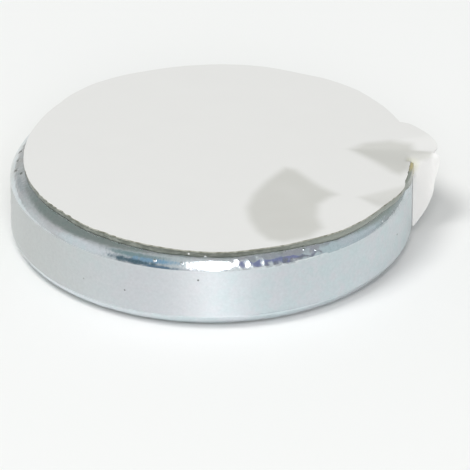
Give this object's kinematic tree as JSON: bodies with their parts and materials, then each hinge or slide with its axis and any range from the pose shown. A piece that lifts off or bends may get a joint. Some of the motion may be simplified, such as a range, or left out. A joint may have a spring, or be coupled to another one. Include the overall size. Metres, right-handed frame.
{
  "type": "disc magnet",
  "caption": "Thin plated disc magnet with a rounded rim; one pole face is bare, the other has an adhesive pad under a creased paper liner with a half-folded pull tab.",
  "frame": {"origin": "centre of the disc's bare lower pole face, on the disc's axis", "axes": "+Z along the disc's axis towards the adhesive face, +X towards the pull tab, +Y completes a right-handed frame"},
  "size_m": [0.0214, 0.02, 0.0043],
  "materials": {
    "plating": "semi-bright nickel plate with faint mottling and small pits",
    "adhesive": "tacky amber to olive acrylic layer",
    "liner_paper": "smooth off-white coated paper, creased and part lifted"
  },
  "bodies": {
    "root": {"magnet_disc": "plating", "adhesive_pad": "adhesive", "release_liner": "liner_paper"}
  },
  "joints": []
}
